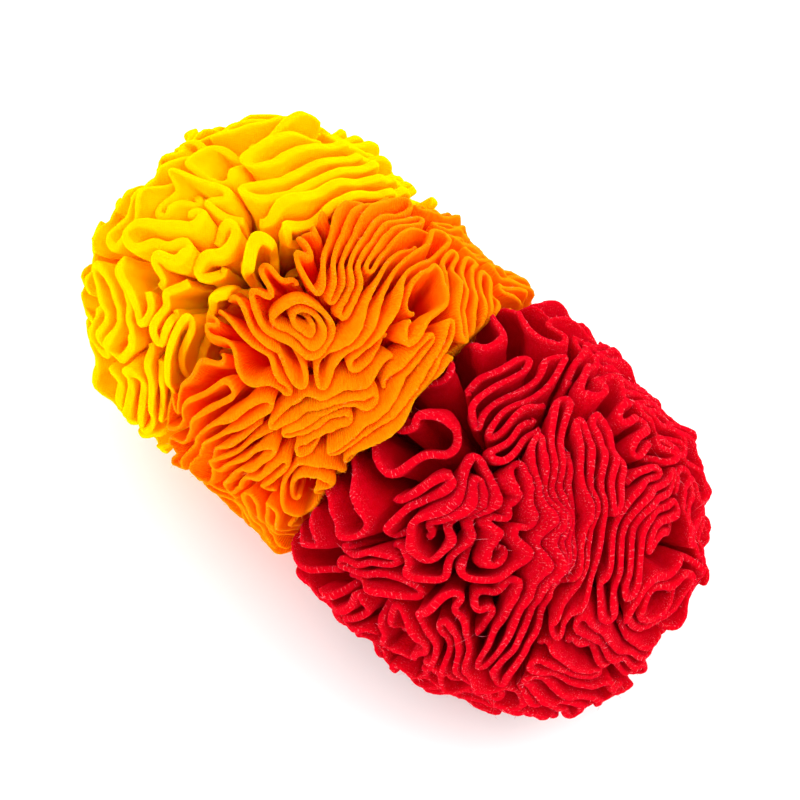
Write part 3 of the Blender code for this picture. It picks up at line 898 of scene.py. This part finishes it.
@dataclass
class Studio:
    """Plain pale floor, soft light and the camera at the photo's angle.

    The floor's size, its drop under the mat, the height that the lights point at
    and their sizes are in metres, their powers in watts. sky is the strength of
    the white surroundings.
    """

    floor_size: float = 6.0
    floor_drop: float = 0.0002
    floor_colour: str = "F4F4F4"
    aim_height: float = 0.06
    lens_mm: float = 180.0
    sensor_mm: float = 36.0
    view_width_mm: float = 274.0
    right_of_middle_mm: float = 1.4
    above_middle_mm: float = 4.5
    key_size: float = 1.1
    key_power: float = 10.5
    fill_size: float = 1.6
    fill_power: float = 7.5
    sky: float = 1.78

    # Light goes on from fold to fold many times before it leaves the cloth.
    diffuse_bounces: int = 10
    all_bounces: int = 14

    def floor(self) -> bpy.types.Object:
        """Lay the floor.

        Returns:
            The floor.
        """
        half = self.floor_size / 2
        low = -self.floor_drop
        corners = [(-half, -half, low), (half, -half, low), (half, half, low), (-half, half, low)]
        mesh = bpy.data.meshes.new("floor")
        mesh.from_pydata(corners, [], [(0, 1, 2, 3)])
        made = bpy.data.objects.new("floor", mesh)
        bpy.context.collection.objects.link(made)
        paper = bpy.data.materials.new("matt_paper_floor")
        paper.use_nodes = True
        shader = paper.node_tree.nodes["Principled BSDF"]
        shader.inputs["Base Color"].default_value = linear(self.floor_colour)
        shader.inputs["Roughness"].default_value = 1.0
        shader.inputs["Specular IOR Level"].default_value = 0.0
        mesh.materials.append(paper)
        return made

    def light(self, name: str, place: Points, size: float, power: float) -> None:
        """Hang one soft square light that points at the mat.

        Args:
            name: The light's name.
            place: Its place in metres.
            size: Its side in metres.
            power: Its power in watts.
        """
        data = bpy.data.lights.new(name, "AREA")
        data.shape = "SQUARE"
        data.size = size
        data.energy = power
        made = bpy.data.objects.new(name, data)
        made.location = tuple(place)
        aim = Vector((0.0, 0.0, self.aim_height)) - Vector(tuple(place))
        made.rotation_euler = aim.to_track_quat("-Z", "Y").to_euler()
        bpy.context.collection.objects.link(made)

    def camera(self) -> None:
        """Set the camera at the photo's angle, through a long lens."""
        turn = math.radians(VIEW_TURN)
        right = np.array([math.cos(turn), math.sin(turn), 0.0])
        up = np.cross(BACK, right)
        aim = VIEW_MIDDLE + right * self.right_of_middle_mm + up * self.above_middle_mm
        away = self.view_width_mm * self.lens_mm / self.sensor_mm
        data = bpy.data.cameras.new("camera")
        data.lens = self.lens_mm
        data.sensor_width = self.sensor_mm
        data.clip_start, data.clip_end = 0.05, 20.0
        made = bpy.data.objects.new("camera", data)
        made.location = Vector((aim + BACK * away) * MM)
        made.rotation_mode = "QUATERNION"
        made.rotation_quaternion = Vector(-BACK).to_track_quat("-Z", "Y")
        bpy.context.collection.objects.link(made)
        bpy.context.scene.camera = made

    def surroundings(self) -> None:
        """Fill the room with even white light."""
        world = bpy.data.worlds.new("studio")
        world.use_nodes = True
        background = world.node_tree.nodes["Background"]
        background.inputs["Color"].default_value = (1.0, 1.0, 1.0, 1.0)
        background.inputs["Strength"].default_value = self.sky
        scene = bpy.context.scene
        scene.world = world
        scene.view_settings.view_transform = "Standard"
        scene.cycles.diffuse_bounces = self.diffuse_bounces
        scene.cycles.max_bounces = self.all_bounces

    def build(self) -> None:
        """Set up floor, lights, surroundings and camera."""
        self.floor()
        key = (BACK * 1.2 - ACROSS * 1.0 + ALONG * 0.25) * 1.1
        fill = (BACK * 1.0 + ACROSS * 1.3 - ALONG * 0.8) * 1.2
        self.light("key_softbox", key, self.key_size, self.key_power)
        self.light("fill_softbox", fill, self.fill_size, self.fill_power)
        self.surroundings()
        self.camera()
        log.info("studio: floor, two soft lights and the camera")


# Polyester plush fleece, cut thick and brushed both sides: smooth, almost no texture from a step
# away, and the light glows golden in its folds: partly light through the cloth, and partly a
# painted golden glow deeper down the folds. Each rim has a painted highlight.
YELLOW_PLUSH = ClothFinish(
    name="plush_fleece_yellow",
    kind=ClothKind.PLUSH,
    face="FFA800",
    worn_and_rim_highlight="FFB000",
    fold_shade_and_glow="FFBE00",
    lint="FFC828",
    sheen=0.06,
    sheen_tint="FFC000",
    nap_mm=0.7,
    nap_height_mm=0.22,
    mottle=0.6,
    glow=0.8,
)

# Cotton jersey, brushed on one side: fine columns of stitches run down the strip and show on its
# broad faces, and the cut edge is thin and a little frayed. The folds are painted darker and
# redder as painted shade, and each rim has a painted highlight.
ORANGE_JERSEY = ClothFinish(
    name="brushed_jersey_orange",
    kind=ClothKind.JERSEY,
    face="FF6400",
    worn_and_rim_highlight="FF7804",
    fold_shade_and_glow="FF2600",
    lint="FFA04A",
    sheen=0.06,
    sheen_tint="FF9A20",
    nap_mm=0.5,
    nap_height_mm=0.20,
    mottle=0.5,
    rib_mm=1.0,
    glow=0.8,
)

# Polar fleece, brushed and pilled by handling: matt, with pale lint on every free edge, a painted
# highlight on each rim and dark wine-red folds, which are painted shade.
RED_FLEECE = ClothFinish(
    name="pilled_fleece_red",
    kind=ClothKind.FLEECE,
    face="B4000E",
    worn_and_rim_highlight="C20318",
    fold_shade_and_glow="AA000A",
    lint="F08C98",
    sheen=0.05,
    sheen_tint="FF2848",
    nap_mm=0.6,
    nap_height_mm=0.5,
    mottle=0.8,
    lint_cover=0.5,
    glow=0.5,
)


def balls() -> list[RuffledBall]:
    """List the mat's balls in order along it.

    Returns:
        The yellow, the orange and the red ball.
    """
    yellow = RuffledBall("yellow", YELLOW_HEART, 3.2, 1.25, 0.20, 0.6, 2.6, YELLOW_PLUSH)
    orange = RuffledBall("orange", ORANGE_HEART, 1.7, 1.15, 0.28, 0.5, 1.6, ORANGE_JERSEY)
    red = RuffledBall("red", RED_HEART, 2.6, 1.25, 0.30, 0.6, 2.2, RED_FLEECE)
    return [yellow, orange, red]


def main() -> None:
    """Build the mat and its studio."""
    logging.basicConfig(level=logging.INFO, format="%(name)s: %(message)s")
    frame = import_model()
    yellow, orange, red = balls()
    for ball in (yellow, orange, red):
        made = ball.build(frame["nodes"])
        log.info("%s ball: %d ruffles", ball.name, len(made))
    LooseFibres(yellow, count=1600, short=0.9, long=3.0, strays=12, lift=0.5).build()
    LooseFibres(orange, count=3600, short=0.9, long=3.5, strays=20, lift=0.7).build()
    LooseFibres(red, count=3000, short=1.2, long=8.0, strays=40, lift=0.35).build()
    Studio().build()


if __name__ == "__main__":
    main()
